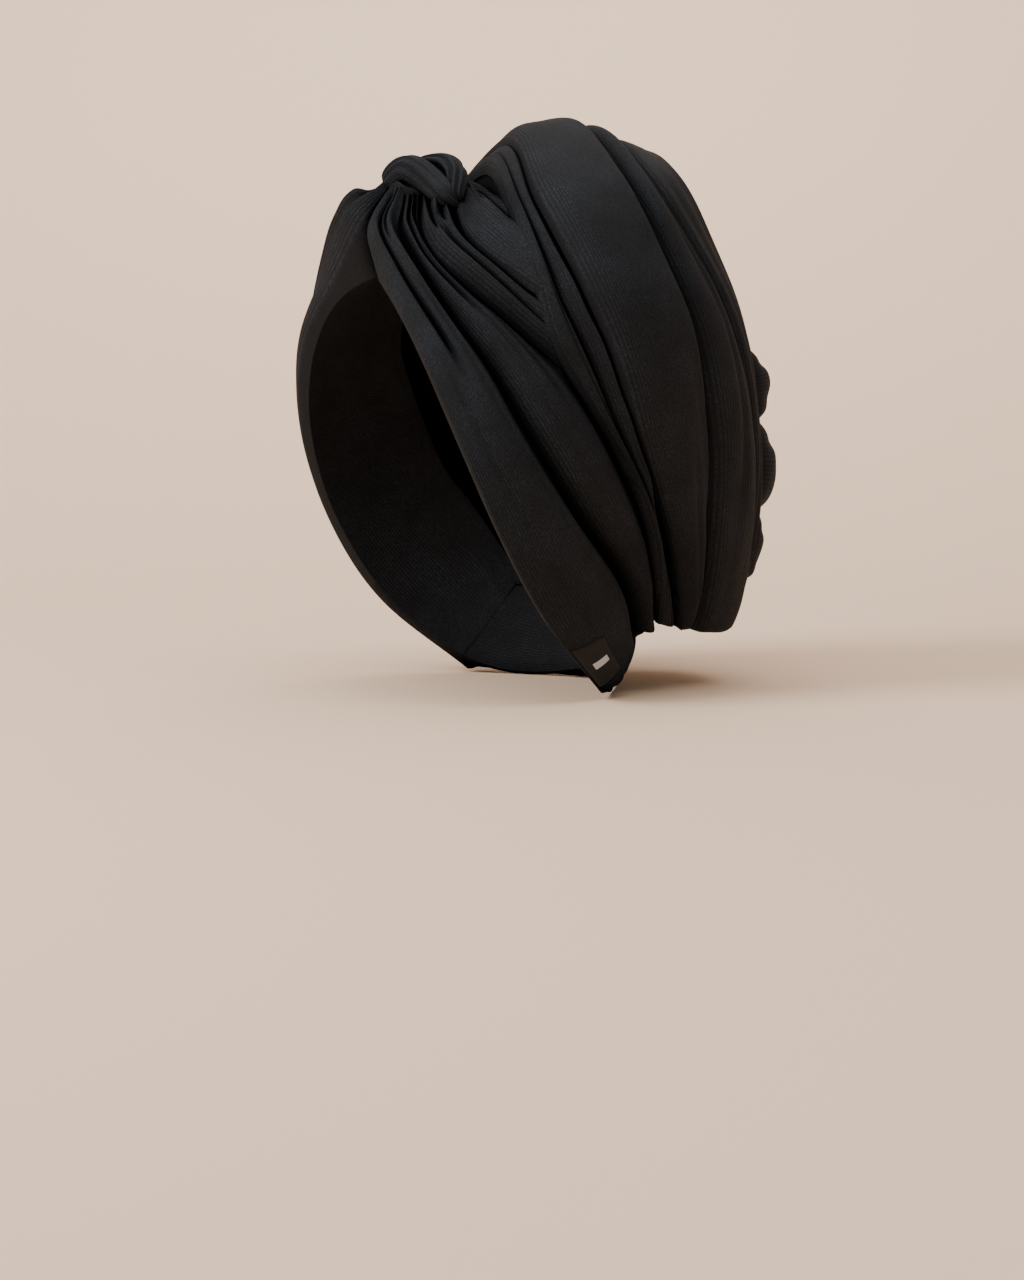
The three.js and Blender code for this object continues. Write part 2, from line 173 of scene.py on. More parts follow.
def head_radius(d):
    """Distance from the middle of the head to its skin in each direction."""
    inner = np.zeros(d.shape[:-1])
    outer = np.full(d.shape[:-1], HEAD_LENGTH * 1.5)
    for _ in range(24):
        half = (inner + outer) / 2
        inside = inside_head(MIDDLE + d * half[..., None])
        inner = np.where(inside, half, inner)
        outer = np.where(inside, outer, half)
    return inner


def direction(turn, tilt):
    turn, tilt = np.radians(turn), np.radians(tilt)
    return np.array([np.cos(turn) * np.cos(tilt), np.sin(turn) * np.cos(tilt), np.sin(tilt)])


def over_head(turn, tilt, lift):
    d = direction(turn, tilt)
    return MIDDLE + d * (head_radius(d) + lift)


def crease_points(loft, rows):
    return [over_head(turn, tilt, lift * loft) for turn, tilt, lift in rows]


def crease(loft, rows, falls=None):
    """A crease through rows of turn, tilt and lift. With falls, the lift that each row loses on the
    right side, it goes on over the top."""
    left = crease_points(loft, rows)
    if falls is None:
        return spline(left)
    fallen = [(turn, tilt, lift - fall) for (turn, tilt, lift), fall in zip(rows, falls)]
    right = crease_points(loft, fallen)
    return spline(left + [p * np.array([-1, 1, 1]) for p in right[-2::-1]])


def lift_at(p):
    v = p - MIDDLE
    length = np.linalg.norm(v, axis=-1)
    return length - head_radius(v / length[..., None])


def ripples(seed, across, along, s, t):
    """Smooth random waves between -1 and 1, so many across a fold and so many along it."""
    lattice = np.random.default_rng(seed).uniform(-1, 1, (along + 6, across + 6))

    def weights(x):
        k = np.floor(x).astype(int)
        f = x - k
        w = [((-0.5 * f + 1) * f - 0.5) * f, (1.5 * f - 2.5) * f * f + 1]
        w += [((-1.5 * f + 2) * f + 0.5) * f, (0.5 * f - 0.5) * f * f]
        return k, w

    x = np.clip(s * across + 2, 1, across + 3.999)
    y = np.clip(t * along + 2, 1, along + 3.999)
    x, y = np.broadcast_arrays(x, y)
    kx, wx = weights(x)
    ky, wy = weights(y)
    total = np.zeros(x.shape)
    for i in range(4):
        for j in range(4):
            total += lattice[ky + i - 1, kx + j - 1] * wy[i] * wx[j]
    return total


# Folds


def level_seat(height):
    """The inside of a fold that lies at one height over the head."""
    return lambda lift, t: np.full(np.shape(lift), height)


class Fold:
    """A fold of cloth between a front crease and a back crease, as a closed wall."""

    rise = 5.0
    crest = 0.5
    fullness = (0.6, 0.6)
    puff = 0.0
    tied = 1.0
    round = (0.0, 0.0)
    end_height = 1.0
    trim = (0.0, 0.0)
    lips = (0.0, 0.0)
    raised = (0.0, 0.0)
    level = 0.0
    sink = (0.0, 0.0)
    sink_width = 3.2
    keel = 0.0
    calm = None
    cloth = 1.8
    ridges = ()
    waves = ()
    start = None
    end = None
    rows = 160
    columns = 40
    length = 260.0
    width = 30.0

    def __init__(self, name, front, back, **more):
        self.name = name
        self.front = front
        self.back = back
        self.seat = level_seat(HEAD_EASE)
        for key, value in more.items():
            setattr(self, key, value)

    def skin(self, s, t):
        """Directions and lifts of the fold between its creases."""
        front, back = self.front(t), self.back(t)
        s3 = s[..., None]
        if self.calm is not None:
            calm = self.calm(t)
            back = calm + (back - calm) * np.clip(s3, 0, 1) ** 5
        p = front + (back - front) * s3
        ends = [(self.end, 1.0, t**3), (self.start, 0.0, (1 - t) ** 3)]
        for edge, side, share in ends:
            if edge is not None:
                plain = self.front(np.array(side)) * (1 - s3) + self.back(np.array(side)) * s3
                p = p + (edge(s) - plain) * share[..., None]
        v = p - MIDDLE
        d = v / np.linalg.norm(v, axis=-1)[..., None]
        lift = blend(lift_at(front), lift_at(back), s)
        return d, lift

    def height(self, s, t, u):
        """Height of the cloth over its creases. u is the share across with the lips."""
        skew = math.log(0.5) / math.log(self.crest)
        arch = np.sin(np.pi * np.clip(u, 0, 1) ** skew)
        full = blend(self.fullness[0], self.fullness[1], smooth(u, 0.2, 0.8))
        swell = np.clip(arch, 0, 1) ** full
        bulk = self.rise * (1 + self.puff * (1 - t) ** 3) * blend(self.tied, 1, smooth(t, 0, 0.2))
        for width, place in zip(self.round, (t, 1 - t)):
            if width:
                bulk = bulk * np.sqrt(np.sin(np.pi / 2 * np.clip(place / width, 0, 1)))
        bulk = bulk * blend(1, self.end_height, smooth(t, 0.7, 1))
        top = bulk * swell
        summit = smooth(t, 0.43, 0.49) - smooth(t, 0.6, 0.68)
        edges = self.raised[0] * (1 - smooth(u, 0, 0.3)) + self.raised[1] * smooth(u, 0.7, 1)
        top = top + (1 - self.level * summit) * edges
        span = np.maximum(np.linalg.norm(self.back(t) - self.front(t), axis=-1), 2.0)
        for depth, gap in zip(self.sink, (u, 1 - u)):
            groove = np.exp(-((gap * span / self.sink_width) ** 2))
            top = top - depth * np.minimum(span / 12, 1) * groove
        inner = smooth(u, 0, 0.12) * (1 - smooth(u, 0.88, 1))
        for s0, s1, t0, t1, wide, high in self.ridges:
            place = blend(s0, s1, np.clip((t - t0) / max(t1 - t0, 1e-6), 0, 1))
            fade = min(0.12, (t1 - t0) / 2)
            window = smooth(t, t0 - fade / 4, t0 + fade / 4) * (1 - smooth(t, t1 - fade, t1))
            sides = smooth(u, 0, 0.05) * (1 - smooth(u, 0.95, 1))
            top = top + high * np.exp(-(((s - place) / wide) ** 2)) * window * sides
        for seed, across, along, high in self.waves:
            top = top + high * ripples(seed, across, along, s, t) * inner
        return top

    def shares(self, t):
        """Shares across the fold for each row, close together at both sides."""
        j = np.linspace(0, 1, self.columns)
        u = 0.5 - 0.5 * np.cos(np.pi * j)
        u = blend(u, j, 0.35)
        span = np.maximum(np.linalg.norm(self.back(t) - self.front(t), axis=-1), 3.0)
        low, high = (np.minimum(lip / span, 0.3) for lip in self.lips)
        return blend(-low, 1 + high, u[None, :]), np.broadcast_to(u[None, :], (len(t), self.columns))

    def grids(self):
        """The outer and the inner grid of points, in millimetres, and their flat places."""
        length = np.linalg.norm(self.front(np.array(0.0)) - self.back(np.array(1.0))) + 1
        t = np.linspace(self.trim[0] / length, 1 - self.trim[1] / length, self.rows)[:, None]
        s, u = self.shares(t)
        d, lift = self.skin(s, t)
        radius = head_radius(d)
        outer = radius + np.maximum(lift + self.height(s, t, u), HEAD_EASE + LEAST_CLOTH)
        span = np.linalg.norm(self.back(t) - self.front(t), axis=-1)
        keel = self.keel * sum(np.exp(-((gap * span / 4) ** 2)) for gap in (u, 1 - u))
        seat = radius + np.maximum(np.minimum(self.seat(lift, t), lift - 1) - keel, HEAD_EASE)
        lip = (s < 0) | (s > 1)
        inner = np.where(lip, outer - self.cloth, np.minimum(seat, outer - LEAST_WALL))
        place = np.stack([s * self.width, t * self.length + 0 * s], -1)
        points = lambda r: MIDDLE + d * r[..., None]
        return points(outer), points(inner), place


# Creases of the wound crown, from the left nape up over the head: turn, tilt, lift
CROWN_LOFT = 68.0
CROWN_CREASES = {
    "front": [(56, -32.5, 0.32), (40, -12, 0.32), (28, 8, 0.27), (14, 34, 0.28), (10, 51, 0.38),
              (20, 70, 0.45), (90, 79.5, 0.56)],
    "roll": [(59, -32, 0.42), (42, -12, 0.34), (31, 3, 0.32), (19, 31, 0.37), (13, 48, 0.46),
             (20, 68, 0.54), (90, 78.5, 0.66)],
    "valley": [(62, -31.5, 0.48), (43, -9, 0.36), (31, 12, 0.4), (24, 29, 0.49), (19, 45, 0.56),
               (24, 65, 0.6), (90, 76.5, 0.74)],
    "main": [(65, -31, 0.54), (53, -12, 0.56), (49, 5, 0.62), (44, 24, 0.72), (42, 39, 0.77),
             (49, 57, 0.86), (90, 66, 0.97)],
    "side": [(75, -27, 0.9), (66, -10, 0.88), (62, 8, 0.89), (57, 27, 0.9), (55, 42, 0.89), (58, 55, 0.93),
             (90, 61, 1.03)],
    "back": [(83, -26, 0.93), (70, -11, 0.88), (68, 8, 0.89), (66, 27, 0.92), (67, 42, 0.98),
             (72, 51, 1.06), (90, 54, 1.12)],
}
# How much flatter each crease lies on the right of the crown, row by row
RIGHT_FALLS = {
    "front": (0, 0, 0, 0.03, 0.1, 0.19, 0.02), "roll": (0, 0, 0, 0.03, 0.11, 0.22, 0.02),
    "valley": (0, 0, 0, 0.03, 0.12, 0.24, 0.02), "main": (0, 0, 0, 0.01, 0.06, 0.11, 0),
    "side": (0,) * 7, "back": (0,) * 7,
}
crown = {name: crease(CROWN_LOFT, rows, RIGHT_FALLS[name]) for name, rows in CROWN_CREASES.items()}
# The front crease of the crown on each side, from the nape to the top
crown_front = {"left": crown["front"], "right": mirror(lambda t: crown["front"](1 - t))}

# Creases of the head band, from the knot down the left side to the nape
BAND_LOFT = 10.0
BAND_CREASES = {
    "brow": [(-88, 80, 3.5), (-87, 73, 2.3), (-65, 66.5, 1.0), (-34, 41.5, 0.6), (-21, 14, 0.6),
             (-8, -15, 0.6), (9.5, -37, 0.65), (39, -49.5, 0.8)],
    "pleat": [(-66, 80.5, 3.5), (-56, 73.5, 2.1), (-30, 59.5, 1.0), (-9, 37, 0.6), (3, 14, 0.6),
              (20, -10, 0.7), (42, -27, 0.9), (52, -37, 1.2)],
}
band = {name: crease(BAND_LOFT, rows) for name, rows in BAND_CREASES.items()}

# Creases of the tucks: start, knee and waist, and the share of the front crease that each meets
TUCK_CREASES = [
    ([(-45, 80.5, 3.2), (-34, 70, 1.8), (-8, 57, 1.1)], 0.24),
    ([(-5, 82, 2.9), (-8, 75, 2.1), (-3, 67, 1.4)], 0.315),
    ([(30, 83.5, 2.8), (28, 80.5, 2.8), (25, 77, 2.6)], 0.4),
]
tucks = {
    side: [spline(crease_points(BAND_LOFT, rows) + [edge(meets)]) for rows, meets in TUCK_CREASES]
    for side, edge in crown_front.items()
}
MEETS = [meets for rows, meets in TUCK_CREASES]


CROWN_WALL = 4.0
CROWN_FOOT = BAND_LOFT * 1.2


def shell_seat(wall, reach=None):
    """The inside of a hollow wall: wall below the skin, and down on the head at its feet."""

    def seat(lift, t):
        inside = np.maximum(HEAD_EASE, lift - wall)
        if reach is None:
            return inside
        foot = np.clip(np.minimum(t, 1 - t) / reach, 0, 1)
        return blend(CROWN_FOOT, inside, foot**0.5)

    return seat


CROWN_SEAT = shell_seat(CROWN_WALL, 0.08)


def crown_folds():
    size = {"rows": 300, "length": 640.0, "keel": 6.5}
    return [
        Fold("crown_roll_front_cloth", crown["front"], crown["roll"], rise=5.4, crest=0.42,
             fullness=(0.5, 0.6), round=(0.04, 0.04), lips=(2.0, 0), raised=(1.5, 0), level=1.0,
             sink=(0, 3.0),
             ridges=[(0.4, 0.45, 0.02, 0.4, 0.12, -1.4), (0.6, 0.7, 0.6, 0.98, 0.1, -0.8),
                     (0.3, 0.3, 0.44, 0.62, 0.4, -2.5)],
             waves=[(11, 2, 26, 0.6), (12, 1, 9, 0.9)], columns=38, width=16.0, **size),
        Fold("crown_valley_cloth", crown["roll"], crown["valley"], rise=3.0, crest=0.42,
             fullness=(0.6, 0.9), round=(0.04, 0.04), sink=(3.0, 5.5), sink_width=3.8,
             seat=CROWN_SEAT,
             ridges=[(0.5, 0.35, 0.03, 0.45, 0.1, -1.2), (0.3, 0.3, 0.5, 0.66, 0.4, -3.0)],
             waves=[(21, 2, 30, 0.6), (22, 1, 8, 0.9)], columns=38, width=16.0, **size),
        Fold("crown_main_pleat_cloth", crown["valley"], crown["main"], rise=8.8, crest=0.44,
             fullness=(0.5, 0.42), round=(0.05, 0.05), lips=(1.2, 0), raised=(0.6, 0), level=1.0,
             sink=(0, 3.5), seat=CROWN_SEAT,
             ridges=[(0.12, 0.12, 0.51, 0.66, 0.22, -4.5), (0.8, 0.72, 0.1, 0.3, 0.1, -0.9),
                     (0.5, 0.62, 0.03, 0.2, 0.08, -1.0)],
             waves=[(31, 3, 14, 0.8), (32, 2, 6, 1.2), (33, 6, 40, 0.18)], columns=84, width=48.0, **size),
        Fold("crown_side_pleat_cloth", crown["main"], crown["side"], rise=6.4, crest=0.5,
             fullness=(0.8, 0.5), round=(0.03, 0.03), sink=(8.0, 3.2), sink_width=4.4,
             seat=CROWN_SEAT,
             ridges=[(0.5, 0.75, 0.12, 0.44, 0.07, -1.2), (0.35, 0.45, 0.02, 0.2, 0.12, -1.0)],
             waves=[(41, 3, 16, 0.7), (42, 2, 7, 1.0), (43, 5, 40, 0.18)], columns=64, width=36.0, **size),
        Fold("crown_back_pleat_cloth", crown["side"], crown["back"], rise=4.0, crest=0.5,
             fullness=(0.6, 0.6), round=(0.03, 0.03), sink=(4.5, 0), lips=(0, 2.5), raised=(0, 2.5),
             seat=CROWN_SEAT,
             ridges=[(0.5, 0.4, 0.05, 0.48, 0.12, -1.2), (0.5, 0.6, 0.52, 0.95, 0.12, -1.2)],
             waves=[(51, 2, 22, 0.7)], columns=44, width=20.0, **size),
    ]


# Creases of the tail's lobes: share of the back crease, tilt in the middle, lift in the middle
LOBE_CREASES = [(0.46, 53.4, 1.12), (0.232, 20, 0.98), (0.18, 9, 0.94), (0.114, -6, 0.92),
                (0.055, -19, 0.86), (0.0, -28, 0.86)]
LOBES = [("crown_back_panel", 4.0), ("tail_lobe_1", 13.0), ("tail_lobe_2", 15.0), ("tail_lobe_3", 12.0),
         ("crown_bottom", 7.0)]


def lobe_folds():
    edges = []
    for at, tilt, lift in LOBE_CREASES:
        middle = over_head(90, tilt, lift * CROWN_LOFT)
        edges.append(spline([crown["back"](at), middle, crown["back"](1 - at)]))
    folds = []
    for k, (name, rise) in enumerate(LOBES):
        above, below = LOBE_CREASES[k][0], LOBE_CREASES[k + 1][0]
        last = k == len(LOBES) - 1
        seat = level_seat(CROWN_FOOT) if last else shell_seat(CROWN_WALL)
        folds.append(Fold(
            name + "_cloth", edges[k], edges[k + 1], rise=rise, crest=0.5 if k == 0 else 0.56,
            fullness=(0.5, 0.45), round=(0.14, 0.14), seat=seat, trim=(TUCK_GAP, TUCK_GAP),
            start=stretch(crown["back"], above, below), end=stretch(crown["back"], 1 - above, 1 - below),
            ridges=[(0.35, 0.2, 0.05, 0.5, 0.08, -1.2), (0.5, 0.7, 0.5, 0.97, 0.09, -1.1)] if k else (),
            lips=(0, 0 if last else 3.0), raised=(0, 0 if last else 2.5),
            waves=[(60 + k, 3, 5, 1.4 if k else 1.0), (70 + k, 5, 11, 0.5)], rows=120,
            columns=90 if k == 0 else 44, length=120.0, width=70.0 if k == 0 else 26.0))
    return folds


# Gathers and creases of the band near the knot: share across at both ends, from, to, width, height
FRONT_RIDGES = [
    (0.42, 0.5, 0.02, 0.5, 0.06, -4.0), (0.2, 0.22, 0.0, 0.35, 0.09, 1.4), (0.75, 0.8, 0.0, 0.4, 0.1, 1.4),
    (0.72, 0.8, 0.3, 0.96, 0.05, -0.9), (0.3, 0.36, 0.45, 0.97, 0.05, -0.7),
    (0.62, 0.6, 0.0, 0.26, 0.05, -2.4),
]
REAR_RIDGES = [
    (0.25, 0.3, 0.0, 0.4, 0.12, 2.0), (0.47, 0.5, 0.0, 0.4, 0.06, -4.0), (0.6, 0.66, 0.0, 0.26, 0.06, 1.9),
    (0.72, 0.76, 0.0, 0.26, 0.05, -3.6), (0.85, 0.86, 0.0, 0.24, 0.06, 1.8),
    (0.62, 0.5, 0.14, 0.55, 0.05, -1.3), (0.8, 0.68, 0.16, 0.6, 0.05, -1.3),
    (0.4, 0.45, 0.4, 0.95, 0.06, -0.8),
]
RIGHT_RIDGES = [
    (0.35, 0.3, 0.06, 0.8, 0.08, -5.0), (0.7, 0.66, 0.06, 0.7, 0.07, -4.5), (0.5, 0.48, 0.1, 0.6, 0.1, 2.5),
]
TUCK_RIDGES = [
    [(0.12, 0.2, 0.0, 0.42, 0.06, 2.2), (0.28, 0.34, 0.0, 0.42, 0.055, -4.0),
     (0.42, 0.45, 0.0, 0.4, 0.06, 2.0), (0.56, 0.58, 0.0, 0.42, 0.055, -4.0),
     (0.7, 0.7, 0.0, 0.4, 0.06, 2.0), (0.84, 0.82, 0.0, 0.42, 0.055, -3.8),
     (0.45, 0.42, 0.26, 1.1, 0.07, -4.2), (0.78, 0.8, 0.4, 0.95, 0.05, -1.2)],
    [(0.2, 0.15, 0.0, 0.4, 0.05, -1.4), (0.82, 0.7, 0.05, 0.7, 0.06, -1.6),
     (0.5, 0.56, 0.1, 0.9, 0.05, -0.9)],
]
# The upper tuck laps over the groove behind the lower one
TUCK_EDGES = [
    {"rise": 8.5, "sink": (4.0, 6.0), "sink_width": 4.0},
    {"rise": 9.5, "sink": (0, 3.0), "lips": (3.0, 0), "raised": (4.0, 0)},
]


# How lofty the band is on each side, and how much it puffs up at the knot
LEFT_BAND = (1.0, 0.3)
RIGHT_BAND = (3.3, 1.1)


def unturned(edge):
    return edge


def side_folds(side, turned, loftier, puff):
    seed = 100 if side == "left" else 200
    creases, top = tucks[side], crown_front[side]
    far = RIGHT_RIDGES if side == "right" else []
    rear = follow(creases[0], stretch(top, MEETS[0], 0.0), 0.5)
    size = {"rows": 220, "columns": 52, "puff": puff, "tied": 0.2, "trim": (TUCK_GAP, SEAT_GAP)}
    folds = [
        Fold("band_front_%s_cloth" % side, turned(band["brow"]), turned(band["pleat"]), rise=3.6 * loftier,
             crest=0.56, fullness=(0.42, 0.5), sink=(0, 3.0), ridges=FRONT_RIDGES + far,
             waves=[(seed, 2, 12, 0.5), (seed + 1, 4, 24, 0.25)], width=36.0, **size),
        Fold("band_rear_%s_cloth" % side, turned(band["pleat"]), turned(rear), rise=4.4 * loftier,
             crest=0.45, fullness=(0.7, 0.7), sink=(6.5, 3.5), sink_width=4.5,
             ridges=REAR_RIDGES + far, calm=turned(rounded(rear, 0.14)),
             waves=[(seed + 2, 2, 12, 0.5), (seed + 3, 4, 24, 0.25)], width=34.0, **size),
    ]
    for k in range(len(creases) - 1):
        folds.append(Fold(
            "tuck_%d_%s_cloth" % (k + 1, side), turned(creases[k]), turned(creases[k + 1]), tied=0.3,
            fullness=(0.5, 0.6), end=turned(stretch(top, MEETS[k], MEETS[k + 1])),
            end_height=0.5, trim=(TUCK_GAP, TUCK_GAP), ridges=TUCK_RIDGES[k], **TUCK_EDGES[k],
            waves=[(seed + 4 + k, 2, 8, 0.5)], rows=130, columns=48, length=95.0, width=24.0))
    return folds


def top_tuck():
    return Fold("tuck_top_cloth", tucks["left"][-1], mirror(tucks["right"][-1]), rise=6.0, tied=0.3,
                fullness=(0.55, 0.55), end=stretch(crown["front"], MEETS[-1], 1 - MEETS[-1]), end_height=0.5,
                trim=(TUCK_GAP, TUCK_GAP), waves=[(301, 3, 6, 0.8)],
                ridges=[(0.25, 0.15, 0.0, 0.9, 0.05, -1.0), (0.6, 0.7, 0.0, 0.8, 0.06, -1.0)],
                rows=80, columns=64, length=40.0, width=40.0)


def nape_folds():
    def edge(curve, tilt, lift):
        left = curve(1.0)
        return spline([left, over_head(90, tilt, lift * BAND_LOFT), left * np.array([-1, 1, 1])])

    rim = [(56, -33.0, 1.3), (65, -31.6, 1.25), (75, -27.8, 1.2), (83, -26.8, 1.2), (90, -28.6, 1.2)]
    top = crease(BAND_LOFT, rim, (0,) * 5)
    low, middle = edge(band["brow"], -47, 0.8), edge(band["pleat"], -40.5, 1.1)
    size = {"rows": 150, "length": 150.0, "trim": (SEAT_GAP, SEAT_GAP)}
    return [
        Fold("nape_lower_cloth", low, middle, rise=5.0, waves=[(311, 2, 8, 0.6)],
             ridges=[(0.4, 0.5, 0.1, 0.9, 0.06, -0.8)], columns=40, width=26.0, **size),
        Fold("nape_upper_cloth", middle, top, rise=4.0, waves=[(312, 2, 8, 0.6)],
             columns=34, width=22.0, **size),
    ]


def knot_core():
    ring = chain([curve(0.0) for curve in [band["brow"], band["pleat"], *tucks["left"]]])
    return Fold("knot_core_cloth", mirror(ring), ring, rise=4.0, fullness=(0.7, 0.7),
                trim=(TUCK_GAP, TUCK_GAP), waves=[(321, 4, 6, 0.8)],
                rows=70, columns=50, length=40.0, width=30.0)


# The knot's loops in millimetres: left, back, up, width and thickness
LOOPS = {
    "knot_loop_front": [(-7.3, -35.6, 24.3, 9, 9), (-3.1, -39.1, 29.4, 11, 12.5), (0.7, -37.6, 33.3, 12, 14),
                        (5.1, -34.8, 34.6, 13, 14.5), (11.6, -32.2, 32.0, 13, 14.5),
                        (19.6, -30.4, 27.4, 12.5, 14), (27.1, -29.5, 23.0, 11.5, 12),
                        (28.2, -26.4, 19.3, 9, 9), (24.7, -22.2, 15.9, 7, 7)],
    "knot_loop_back": [(-10.3, -28.0, 28.3, 12, 9), (-3.6, -27.1, 34.9, 13, 11), (2.4, -24.3, 36.6, 14, 13),
                       (8.3, -21.3, 36.1, 15, 14.5), (14.7, -19.6, 34.1, 15, 14.5),
                       (21.9, -21.1, 30.4, 13, 13.5), (26.6, -23.9, 25.9, 11, 12),
                       (28.1, -25.3, 21.5, 9, 10), (24.2, -23.0, 16.8, 7, 7)],
}
LOOP_MIDDLE = np.array([5.0, -25.0, 0.0])
# Creases along each loop: angle round it, width of the crease, depth in millimetres
LOOP_CREASES = {
    "knot_loop_front": [(20, 13, 1.3), (62, 12, 1.2), (110, 12, 0.9), (330, 12, 1.0)],
    "knot_loop_back": [(75, 13, 1.6), (38, 11, 1.8), (5, 12, 1.6), (120, 12, 1.2)],
}


def loop_grid(name, steps=130, sides=84):
    """A roll of cloth swept along the loop, with creases along it."""
    rows = np.array(LOOPS[name])
    t = np.linspace(0, 1, steps)
    swept = spline(rows)(t)
    centre, width, thick = swept[:, :3], swept[:, 3, None], swept[:, 4, None]
    along = np.gradient(centre, axis=0)
    along /= np.linalg.norm(along, axis=-1)[:, None]
    out = centre - LOOP_MIDDLE
    wide = np.cross(along, out)
    wide /= np.linalg.norm(wide, axis=-1)[:, None]
    high = np.cross(wide, along)
    angle = np.linspace(0, 2 * np.pi, sides, endpoint=False)
    degrees = np.degrees(angle)
    dent = np.zeros((steps, sides))
    for place, spread, depth in LOOP_CREASES[name]:
        shift = place + 14 * np.sin(3 * t + place)[:, None]
        gap = (degrees[None, :] - shift + 180) % 360 - 180
        dent += depth * np.exp(-((gap / spread) ** 2)) * np.sin(np.pi * t)[:, None] ** 0.3
    bumps = ripples(len(name) + 7, 6, 5, np.broadcast_to(angle / (2 * np.pi), dent.shape), t[:, None]) * 0.7
    x = np.cos(angle)[None, :] * (width / 2 - dent + bumps * 0.5)
    y = np.sin(angle)[None, :] * (thick / 2 - dent + bumps * 0.5)
    grid = centre[:, None] + wide[:, None] * x[..., None] + high[:, None] * y[..., None]
    place = np.stack(np.broadcast_arrays(angle[None, :] * 9, t[:, None] * 70), -1)
    return grid, place


# Meshes


def wall_faces(rows, columns):
    """Quads of a closed wall whose rings run out over the outer grid and back over the inner."""
    size = 2 * columns
    i, j = np.meshgrid(np.arange(rows - 1), np.arange(size), indexing="ij")
    a, b = i * size + j, i * size + (j + 1) % size
    sides = np.stack([a, b, b + size, a + size], -1).reshape(-1, 4)
    j = np.arange(columns - 1)
    k = size - 1 - j
    last = (rows - 1) * size
    low = np.stack([j + 1, j, k, k - 1], -1)
    high = np.stack([last + j, last + j + 1, last + k - 1, last + k], -1)
    return np.concatenate([sides, low, high])


def tube_faces(rows, sides):
    """Quads of a swept roll and the two polygons that close its ends."""
    i, j = np.meshgrid(np.arange(rows - 1), np.arange(sides), indexing="ij")
    a, b = i * sides + j, i * sides + (j + 1) % sides
    quads = np.stack([a, b, b + sides, a + sides], -1).reshape(-1, 4).tolist()
    last = (rows - 1) * sides
    return quads + [list(range(sides - 1, -1, -1)), [last + k for k in range(sides)]]


def outward(points, faces):
    """The faces in the order that makes them face out."""
    volume = 0.0
    for face in (faces if isinstance(faces, list) else [faces]):
        face = np.asarray(face).reshape(-1, np.asarray(face).shape[-1])
        a = points[face[:, 0]]
        for k in range(1, face.shape[1] - 1):
            volume += np.einsum("ij,ij->", a, np.cross(points[face[:, k]], points[face[:, k + 1]]))
    if volume > 0:
        return faces
    return [list(f)[::-1] for f in faces] if isinstance(faces, list) else faces[:, ::-1]


def add_piece(name, points, faces, place, material, nodes):
    """Makes a piece from points in millimetres and their flat places, and stands it for its solids."""
    faces = outward(points, faces)
    mesh = bpy.data.meshes.new(name)
    mesh.from_pydata((points * MM).tolist(), [], faces if isinstance(faces, list) else faces.tolist())
    layer = mesh.uv_layers.new(name="cloth")
    index = np.zeros(len(mesh.loops), int)
    mesh.loops.foreach_get("vertex_index", index)
    layer.data.foreach_set("uv", (place[index] * MM).astype(np.float32).ravel())
    mesh.shade_smooth()
    mesh.set_sharp_from_angle(angle=math.radians(70))
    mesh.materials.append(material)
    piece = bpy.data.objects.new(name, mesh)
    bpy.context.scene.collection.objects.link(piece)
    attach(piece, "root")
    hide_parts(*nodes)


def add_wall(name, grids, material, nodes):
    """Makes a piece from an outer and an inner grid of points and their flat places."""
    outer, inner, place = grids
    rows, columns = outer.shape[:2]
    points = np.concatenate([outer, inner[:, ::-1]], axis=1).reshape(-1, 3)
    flat = np.concatenate([place, place[:, ::-1]], axis=1).reshape(-1, 2)
    add_piece(name, points, wall_faces(rows, columns), flat, material, nodes)


def add_fold(fold, material):
    add_wall(fold.name, fold.grids(), material, [fold.name.removesuffix("_cloth")])


def add_loop(name, material):
    grid, place = loop_grid(name)
    rows, sides = grid.shape[:2]
    add_piece(name + "_cloth", grid.reshape(-1, 3), tube_faces(rows, sides), place.reshape(-1, 2),
              material, [name])


# Materials


def linear(code):
    """Linear colour from an sRGB hex code."""
    channels = [int(code[k:k + 2], 16) / 255 for k in (1, 3, 5)]
    return [c / 12.92 if c <= 0.04045 else ((c + 0.055) / 1.055) ** 2.4 for c in channels] + [1.0]


def node(tree, kind, inputs=(), **settings):
    """Adds a node with its settings. An input is a value, or a socket to link from."""
    made = tree.nodes.new(kind)
    for key, value in settings.items():
        setattr(made, key, value)
    for key, value in dict(inputs).items():
        if isinstance(value, bpy.types.NodeSocket):
            tree.links.new(value, made.inputs[key])
        else:
            made.inputs[key].default_value = value
    return made


def wave_scale(size):
    """Scale of a wave texture whose bands lie this many metres apart."""
    return math.pi / 10 / size


def new_material(name):
    material = bpy.data.materials.get(name) or bpy.data.materials.new(name)
    material.use_nodes = True
    material.node_tree.nodes.clear()
    return material, material.node_tree


def math_of(tree, operation, first, second):
    """The result of a sum or a product of two sockets or values."""
    return node(tree, "ShaderNodeMath", {0: first, 1: second}, operation=operation).outputs[0]


# Painted shade in creases: how far a nook reaches for the occlusion lookup, and the openness at which the
# cloth is painted darkest and palest; then the specular where the cloth is open, which is painted lower in
# nooks
PAINTED_SHADE_REACH = 14 * MM
PAINTED_SHADE_OPENNESS = (0.42, 0.95)
SPECULAR_OUTSIDE_PAINTED_SHADE = 0.22


